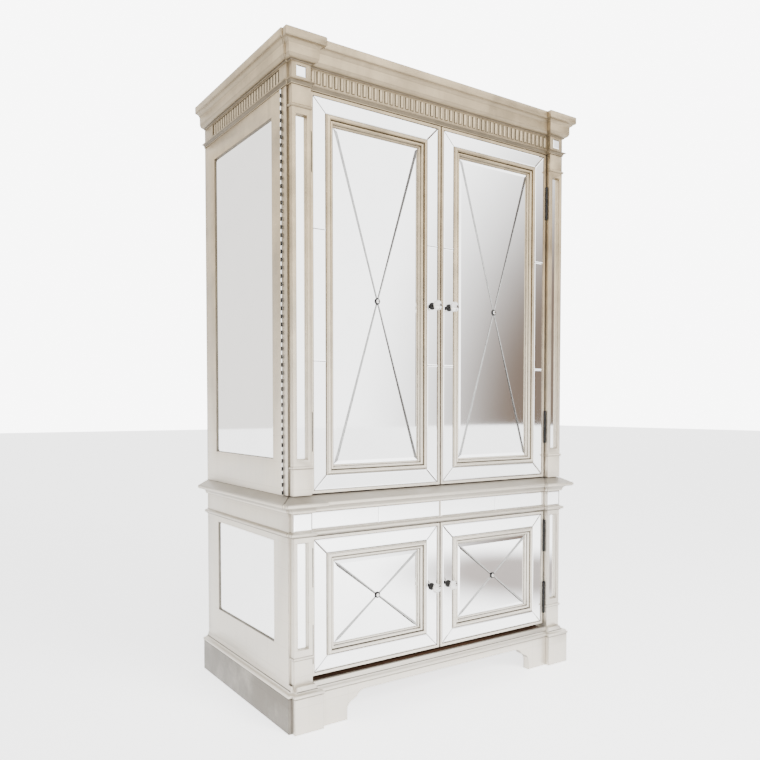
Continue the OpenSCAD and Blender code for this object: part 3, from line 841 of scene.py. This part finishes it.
def build_centre(door):
    """Centre mirror: four faces divided by cross grooves, with a bevel round the outside."""
    doors = bpy.context.scene.armoire_doors
    low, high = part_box(f"{door}_centre_mirror")
    corners = [Vector(p) for p in ((low.x, low.z), (high.x, low.z), (high.x, high.z), (low.x, high.z))]
    centre = (corners[0] + corners[2]) / 2
    inner = inset_outline(corners, doors.centre_bevel)
    bm = bmesh.new()
    drop, deep = 0.0016, 0.0013
    bottom = bm.verts.new((centre.x, low.y + deep, centre.y))
    rim = [bm.verts.new((p.x, low.y + drop, p.y)) for p in corners]
    back = [bm.verts.new((p.x, high.y, p.y)) for p in corners]
    for i in range(4):
        j = (i + 1) % 4
        outline = inset_outline([inner[i], inner[j], centre], doors.groove)
        edge_in = (inner[j] - inner[i]).normalized()
        push = Vector((-edge_in.y, edge_in.x)) * doors.groove
        face_corners = (outline[0] - push, outline[1] - push, outline[2])
        a, b, top = [bm.verts.new((p.x, low.y, p.y)) for p in face_corners]
        bm.faces.new((a, b, top))
        bm.faces.new((rim[i], rim[j], b, a))
        for face in (bm.faces.new((bottom, top, b, rim[j])), bm.faces.new((bottom, rim[i], a, top))):
            face.material_index = 1
        bm.faces.new((rim[j], rim[i], back[i], back[j]))
    bm.faces.new(back)
    bmesh.ops.triangulate(bm, faces=[f for f in bm.faces if f.material_index == 1])
    seal(bm)
    finishes = [finish_for("mirror_glass"), finish_for("cut_glass")]
    add_piece(f"{door}_centre", bm, [f"{door}_centre_mirror"], finishes, crease=GLASS_CREASE)


def turn_fitting(name, bm, nodes, centre, outline, steps, shade_painted_until):
    """Turns an outline into a fitting with a foot painted black as shade and a polished head."""
    lathe(bm, centre, outline, steps, shade_painted_until)
    seal(bm)
    add_piece(name, bm, nodes, [finish_for("black_hinge"), finish_for("knob_metal")])


def build_knob(door):
    """Turned knob: a rose and a waisted stem painted black as shade, and a domed polished head."""
    low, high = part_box(f"{door}_knob")
    centre = Vector(((low.x + high.x) / 2, high.y, (low.z + high.z) / 2))
    k = (high.x - low.x) / KNOB_DRAWN
    shape = [(0, 0), (12.6, 0), (13, 0.6), (13, 1.8), (12.2, 2.8), (9, 3.4), (7, 4.6), (5.6, 7.5)]
    shape += [(4.9, 11), (4.8, 14), (5.2, 17.5), (6.4, 20.2), (8.6, 22.6), (11.6, 24.8), (14.6, 26.8)]
    shape += [(16.6, 28.8), (17.7, 30.6), (18, 32.4), (18, 34), (17.4, 35.4), (16.4, 36.2), (15.8, 36.4)]
    shape += [(15.2, 37.4), (13.4, 39.4), (10.6, 41.2), (7.2, 42.4), (3.6, 42.9), (0, 43)]
    outline = [(r * MM * k, f * MM) for r, f in shape]
    turn_fitting(f"{door}_turned_knob", bmesh.new(), [f"{door}_knob"], centre, outline, 48, KNOB_SHADE_UNTIL)


def build_rosette(door):
    """Turned rosette over the crossing of the grooves, its foot and outer ring black as painted shade, its
    dome polished.
    """
    low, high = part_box(f"{door}_rosette")
    centre = Vector(((low.x + high.x) / 2, high.y, (low.z + high.z) / 2))
    k = (high.x - low.x) / ROSETTE_DRAWN
    shape = [(0, 0), (10.6, 0), (11, 0.5), (11, 1.5), (10.2, 2.2), (9, 2.3), (8.4, 3.0), (7.8, 4.0)]
    shape += [(6.4, 5.0), (4.6, 5.7), (2.4, 5.95), (0, 6)]
    outline = [(r * MM * k, f * MM) for r, f in shape]
    turn_fitting(
        f"{door}_turned_rosette", bmesh.new(), [f"{door}_rosette"], centre, outline, 40, ROSETTE_SHADE_UNTIL)


def islands(bm):
    """Gives the corner points of each separate solid in a mesh."""
    left = set(bm.verts)
    while left:
        stack, part = [left.pop()], []
        while stack:
            vert = stack.pop()
            part.append(vert.co.copy())
            for line in vert.link_edges:
                other = line.other_vert(vert)
                if other in left:
                    left.remove(other)
                    stack.append(other)
        yield part


def flat_mirrors(node, name, bevel):
    """Bevelled plates in place of a node's plain mirrors, one for each solid."""
    source = merged_copy(node)
    bm = bmesh.new()
    for part in islands(source):
        low = Vector(min(p[i] for p in part) for i in range(3))
        high = Vector(max(p[i] for p in part) for i in range(3))
        made = bmesh.new()
        if high.x - low.x < high.y - low.y:
            outline = [(low.y, low.z), (high.y, low.z), (high.y, high.z), (low.y, high.z)]
            plate(made, outline, 0.0, high.x - low.x, bevel, SIDE_DROP)
            outer = low.x if low.x < 0 else high.x
            way = 1.0 if low.x < 0 else -1.0
            for vert in made.verts:
                vert.co = Vector((outer + way * vert.co.y, vert.co.x, vert.co.z))
        else:
            outline = [(low.x, low.z), (high.x, low.z), (high.x, high.z), (low.x, high.z)]
            narrowest = min(bevel, (high.x - low.x) / 6)
            plate(made, outline, low.y, high.y - low.y, narrowest, FRONT_DROP)
        seal(made)
        mesh = bpy.data.meshes.new("plate")
        made.to_mesh(mesh)
        made.free()
        bm.from_mesh(mesh)
        bpy.data.meshes.remove(mesh)
    source.free()
    add_piece(name, bm, [node], crease=GLASS_CREASE)


def reed(radius, proud, length):
    """One upright reed with a rounded face and eased ends, its flat back at y 0; its flanks are darkened as
    painted shade.
    """
    half = math.sqrt(max(radius ** 2 - (radius - proud) ** 2, 1e-9))
    spread = math.asin(min(1.0, half / radius))
    bm = bmesh.new()
    loops = []
    low_end = [(0.0, 0.55), (0.0012, 0.9), (0.0030, 1.0)]
    high_end = [(length - z, ease) for z, ease in reversed(low_end)]
    for z, ease in low_end + high_end:
        ring = []
        for i in range(9):
            angle = -spread + 2 * spread * i / 8
            forwards = radius * math.cos(angle) - (radius - proud)
            ring.append(bm.verts.new((radius * math.sin(angle), -forwards * ease, z)))
        loops.append(ring)
    bridge(bm, loops, closed_up=False)
    bm.faces.new(loops[0])
    bm.faces.new(loops[-1])
    seal(bm)
    # Painted shade: the reed's flanks are darkened, for the shade in the gaps between reeds
    darkening = bm.faces.layers.float.new("grime")
    for face in bm.faces:
        if abs(face.calc_center_median().x) > radius * math.sin(spread) * 0.62:
            face[darkening] = 0.95
    return bm


def build_reeds():
    """Reeds across the front and along both sides, between the frieze's mouldings."""
    fittings = bpy.context.scene.armoire_fittings
    low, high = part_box("frieze_reeds")
    rail_low, rail_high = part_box("lower_frieze_rail")
    _, top_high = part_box("lower_top_board")
    length = high.z - low.z
    bm = bmesh.new()
    span = 2 * (rail_high.x - END_REED_INSET)
    pitch = span / fittings.front_reeds
    proud = rail_low.y - low.y
    start = Vector((-span / 2 + pitch / 2, rail_low.y, low.z))
    part = reed(fittings.reed_radius, proud, length)
    add_row(bm, part, start, fittings.front_reeds, (pitch, 0, 0), "silver_leaf")
    side_start = rail_low.y + SIDE_REEDS_FROM
    side_pitch = (high.y - side_start) / fittings.side_reeds
    for side in (-1, 1):
        part = reed(fittings.reed_radius - SIDE_REED_SLIMMER, SIDE_REED_PROUD, length)
        for vert in part.verts:
            vert.co = Vector((side * -vert.co.y, side * vert.co.x, vert.co.z))
        place = Vector((side * (top_high.x - SIDE_REED_PROUD), side_start + side_pitch / 2, low.z))
        add_row(bm, part, place, fittings.side_reeds, (0, side_pitch, 0), "silver_leaf")
    seal(bm)
    add_piece("reeds", bm, ["frieze_reeds"])


def build_piano_leaf(bm, side, node, back, phase, slot):
    """Plate and knuckles of one piano hinge leaf; back is 1 on the case and -1 on the pilaster."""
    fittings = bpy.context.scene.armoire_fittings
    low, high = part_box(node)
    x, y, _ = JOINTS[f"{side}_pilaster_swing"]["pos_m"]
    way = -1 if side == "left" else 1
    near, far = sorted((y + back * PIANO_FACES[0], y + back * PIANO_FACES[1]))
    edge_low, edge_high = sorted(x - way * reach for reach in PIANO_REACH)
    block(bm, Vector((edge_low, near, low.z)), Vector((edge_high, far, high.z)), PIANO_EDGE)
    knuckle = bmesh.new()
    length = fittings.knuckle_pitch / 2 - PIANO_GAP
    post(knuckle, fittings.piano_radius, 0.0, length, 14, PIANO_CHAMFER)
    tab_low, tab_high = sorted(-way * reach for reach in PIANO_TAB)
    block(knuckle, Vector((tab_low, near - y, 0.0)), Vector((tab_high, far - y, length)))
    seal(knuckle)
    count = int((high.z - low.z) / fittings.knuckle_pitch)
    start = Vector((x, y, low.z + MM + phase * fittings.knuckle_pitch / 2))
    add_row(bm, knuckle, start, count, (0, 0, fittings.knuckle_pitch), slot)


def build_butt_leaves(node, joint, door_leaf):
    """Butt hinge leaves with their knuckles, in pairs at the node's two ends."""
    fittings = bpy.context.scene.armoire_fittings
    low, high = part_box(node)
    x, y, _ = JOINTS[joint]["pos_m"]
    way = -1 if x < 0 else 1
    length = fittings.butt_length
    step = length / 5
    plate_x = x - way * BUTT_DOOR_SIDE if door_leaf else x + way * BUTT_PILASTER_SIDE
    edge = sorted((plate_x, plate_x - way * BUTT_THICK))
    first, count, tab_back = (1, 2, BUTT_TAB_BACK) if door_leaf else (0, 3, 0.0)
    bm = bmesh.new()
    for z0 in (low.z, high.z - length):
        block(bm, Vector((edge[0], y + BUTT_FROM, z0)),
              Vector((edge[1], y + BUTT_TO, z0 + length)), METAL_EDGE)
        knuckle = bmesh.new()
        post(knuckle, fittings.butt_radius, BUTT_GAP, step - BUTT_GAP, 24, BUTT_CHAMFER)
        block(knuckle, Vector((edge[0] - x, tab_back, BUTT_GAP)),
              Vector((edge[1] - x, BUTT_TAB_TO, step - BUTT_GAP)))
        seal(knuckle)
        start = Vector((x, y, z0 + first * step))
        add_row(bm, knuckle, start, count, (0, 0, 2 * step), "black_hinge")
    add_piece(f"{node}_made", bm, [node])


def add_panel_button(layout, operator):
    layout.operator(operator.bl_idname, text=operator.bl_label)


# Operators


class ARMOIRE_OT_stage(bpy.types.Operator):
    """Makes the floor, the light and the camera"""

    bl_idname = "armoire.stage"
    bl_label = "Make Stage"

    def execute(self, context):
        settings = context.scene.armoire_stage
        make_floor(settings)
        make_sky(context, settings)
        make_lamps()
        make_camera(context, settings)
        return {"FINISHED"}


def make_floor(settings):
    """A broad pale floor that glows, with a patch of painted shade that is hidden from the camera and darkens
    what the mirrors reflect.
    """
    bm = bmesh.new()
    bmesh.ops.create_grid(bm, x_segments=1, y_segments=1, size=30.0)
    mesh = bpy.data.meshes.new("studio_floor")
    bm.to_mesh(mesh)
    bm.free()
    finish = Finish(bpy.data.materials.new("studio_floor"))
    mottle = finish.noise(1.4, 3.0, 0.5)
    colour = tuple(settings.floor)
    tone = finish.ramp(mottle, [(0.3, shade(colour, 0.99)), (0.7, colour)])
    away = finish.node("ShaderNodeVectorMath", {"operation": "DISTANCE"}, {
        0: finish.place(), 1: REFLECTED_SHADE_CENTRE}, "Value")
    hidden = 1.0 - finish.node("ShaderNodeLightPath", out="Is Camera Ray")
    # Painted shade: a dark patch on the floor that everything but the camera sees
    reflected_shade = finish.between(away, REFLECTED_SHADE_RADIUS, REFLECTED_SHADE_CORE, 0.0, 0.94) * hidden
    tone = finish.blend(reflected_shade, tone, (0.10, 0.08, 0.07))
    mesh.materials.append(finish.surface(
        Base_Color=tone, Roughness=0.75, Emission_Color=tone, Emission_Strength=settings.glow))
    ground = bpy.data.objects.new("studio_floor", mesh)
    bpy.context.scene.collection.objects.link(ground)


def make_sky(context, settings):
    """White to the camera, dark to the right, grey at the back left; each kind of ray has its strength."""
    world = bpy.data.worlds.new("studio")
    context.scene.world = world
    sky = Finish(world)
    way = sky.node("ShaderNodeTexCoord", out="Generated")

    def toward(azimuth, rise, low, high):
        turn = math.radians(azimuth)
        heading = Vector((math.sin(turn), math.cos(turn), rise)).normalized()
        facing = sky.node("ShaderNodeVectorMath", {"operation": "DOT_PRODUCT"}, {
            0: way, 1: tuple(heading)}, "Value")
        return sky.between(facing, low, high)

    tone = sky.blend(toward(116, -0.04, 0.84, 0.945), (1.0, 1.0, 1.0), (0.075, 0.056, 0.044))
    tone = sky.blend(toward(-24, 0.0, 0.60, 0.97), tone, (0.52, 0.50, 0.475))
    seen = sky.node("ShaderNodeLightPath", out="Is Camera Ray")
    shiny = sky.node("ShaderNodeLightPath", out="Is Glossy Ray")
    tone = sky.blend(seen, tone, (1.0, 1.0, 1.0))
    strength = seen * settings.backdrop + shiny * settings.reflected + (1.0 - seen - shiny) * settings.sky
    light = sky.node("ShaderNodeBackground", None, {"Color": tone, "Strength": strength})
    sky.node("ShaderNodeOutputWorld", None, {"Surface": light})


def make_lamps():
    """Broad soft lamps that don't show in the mirrors."""
    for name, place, size, power in (
            ("key_panel", (0.9, -4.8, 3.2), 2.2, 420.0), ("front_fill", (-1.6, -4.8, 1.6), 2.0, 160.0)):
        lamp = bpy.data.lights.new(name, "AREA")
        lamp.shape, lamp.size, lamp.energy = "DISK", size, power
        made = bpy.data.objects.new(name, lamp)
        bpy.context.scene.collection.objects.link(made)
        made.location = place
        aim = Vector((0.0, 0.0, 1.0)) - Vector(place)
        made.rotation_euler = aim.to_track_quat("-Z", "Y").to_euler()
        made.visible_glossy = False


def make_camera(context, settings):
    """The camera stands front left at chest height."""
    lens = bpy.data.cameras.new("view")
    lens.lens = settings.lens
    lens.sensor_width = FILM_WIDTH
    lens.shift_y = CAMERA_SHIFT
    lens.clip_end = 200.0
    made = bpy.data.objects.new("view", lens)
    context.scene.collection.objects.link(made)
    level = math.cos(CAMERA_PITCH)
    forward = Vector((
        math.sin(CAMERA_YAW) * level, math.cos(CAMERA_YAW) * level, math.sin(CAMERA_PITCH)))
    made.location = CAMERA_PLACE
    made.rotation_euler = forward.to_track_quat("-Z", "Y").to_euler()
    context.scene.camera = made


class ARMOIRE_OT_case(bpy.types.Operator):
    """Dresses the leafed boards and mouldings of both cases"""

    bl_idname = "armoire.case"
    bl_label = "Make Case"

    def execute(self, context):
        edge = context.scene.armoire_case.edge
        for node, darkening in LEAFED.items():
            dress(node, edge, darkening)
        return {"FINISHED"}


class ARMOIRE_OT_inside(bpy.types.Operator):
    """Dresses the boards, shelves and rail inside"""

    bl_idname = "armoire.inside"
    bl_label = "Make Inside"

    def execute(self, context):
        edge = context.scene.armoire_case.edge
        for node in INSIDE:
            dress(node, edge)
        dress("hanging_rail", METAL_EDGE)
        return {"FINISHED"}


class ARMOIRE_OT_mirrors(bpy.types.Operator):
    """Makes the fixed mirrors of the sides, friezes and pilasters"""

    bl_idname = "armoire.mirrors"
    bl_label = "Make Fixed Mirrors"

    def execute(self, context):
        flat_mirrors("side_mirrors", "side_plates", SIDE_BEVEL)
        flat_mirrors("frieze_corner_mirrors", "corner_squares", SMALL_BEVEL)
        flat_mirrors("lower_frieze_mirrors", "frieze_plates", SMALL_BEVEL)
        flat_mirrors("lower_pilaster_mirrors", "lower_strips", SMALL_BEVEL)
        return {"FINISHED"}


class ARMOIRE_OT_reeds(bpy.types.Operator):
    """Makes the reeds of the frieze"""

    bl_idname = "armoire.reeds"
    bl_label = "Make Reeds"

    def execute(self, context):
        build_reeds()
        return {"FINISHED"}


class ARMOIRE_OT_pilasters(bpy.types.Operator):
    """Makes the folding pilasters and their mirror strips"""

    bl_idname = "armoire.pilasters"
    bl_label = "Make Folding Pilasters"

    def execute(self, context):
        for side in SIDES:
            dress(f"{side}_pilaster", context.scene.armoire_case.edge)
            flat_mirrors(f"{side}_pilaster_mirror", f"{side}_strip", SMALL_BEVEL)
        return {"FINISHED"}


class ARMOIRE_OT_doors(bpy.types.Operator):
    """Makes the door frames with their border and centre mirrors"""

    bl_idname = "armoire.doors"
    bl_label = "Make Doors"

    def execute(self, context):
        for door in DOORS:
            build_door_frame(door)
            build_border(door)
            build_centre(door)
        return {"FINISHED"}


class ARMOIRE_OT_knobs(bpy.types.Operator):
    """Turns the knobs and rosettes"""

    bl_idname = "armoire.knobs"
    bl_label = "Make Knobs and Rosettes"

    def execute(self, context):
        for door in DOORS:
            build_knob(door)
            build_rosette(door)
        return {"FINISHED"}


class ARMOIRE_OT_hinges(bpy.types.Operator):
    """Makes the piano hinges and the butt hinges"""

    bl_idname = "armoire.hinges"
    bl_label = "Make Hinges"

    def execute(self, context):
        case_leaves = bmesh.new()
        for side in SIDES:
            # The case leaves are black as painted shade, for the dark gaps between the bright knuckles
            build_piano_leaf(case_leaves, side, "piano_hinge_case_leaves", 1, 0, "black_hinge")
            moving = bmesh.new()
            build_piano_leaf(moving, side, f"{side}_piano_hinge_leaf", -1, 1, "bright_steel")
            add_piece(f"{side}_piano_leaf", moving, [f"{side}_piano_hinge_leaf"])
            build_butt_leaves(f"{side}_butt_hinge_leaves", f"upper_{side}_door_swing", False)
        add_piece("piano_case_leaves_painted_shade", case_leaves, ["piano_hinge_case_leaves"], [finish_for("black_hinge")])
        for door in DOORS:
            build_butt_leaves(f"{door}_hinge_leaves", f"{door}_door_swing", True)
        dress("lower_hinge_case_leaves", METAL_EDGE)
        return {"FINISHED"}


BUILD_ORDER = (
    ARMOIRE_OT_stage, ARMOIRE_OT_case, ARMOIRE_OT_inside, ARMOIRE_OT_mirrors, ARMOIRE_OT_reeds,
    ARMOIRE_OT_pilasters, ARMOIRE_OT_doors, ARMOIRE_OT_knobs, ARMOIRE_OT_hinges)


class ARMOIRE_PT_panel(bpy.types.Panel):
    """Lists the armoire's pieces in the order they are made"""

    bl_idname = "ARMOIRE_PT_panel"
    bl_label = "Armoire"
    bl_space_type = "VIEW_3D"
    bl_region_type = "UI"
    bl_category = "Armoire"

    def draw(self, context):
        for operator in BUILD_ORDER:
            add_panel_button(self.layout, operator)


GROUPS = {"armoire_case": CaseSettings, "armoire_doors": DoorSettings, "armoire_fittings": FittingSettings,
          "armoire_stage": StageSettings}


def register():
    for kind in (*GROUPS.values(), *BUILD_ORDER, ARMOIRE_PT_panel):
        bpy.utils.register_class(kind)
    for name, kind in GROUPS.items():
        setattr(bpy.types.Scene, name, PointerProperty(type=kind))


def unregister():
    for name in GROUPS:
        delattr(bpy.types.Scene, name)
    for kind in reversed((*GROUPS.values(), *BUILD_ORDER, ARMOIRE_PT_panel)):
        bpy.utils.unregister_class(kind)


def main():
    register()
    for operator in BUILD_ORDER:
        call = getattr(bpy.ops.armoire, operator.bl_idname.split(".")[1])
        if call() != {"FINISHED"}:
            raise RuntimeError(f"{operator.bl_label} did not finish")


if __name__ == "__main__":
    main()
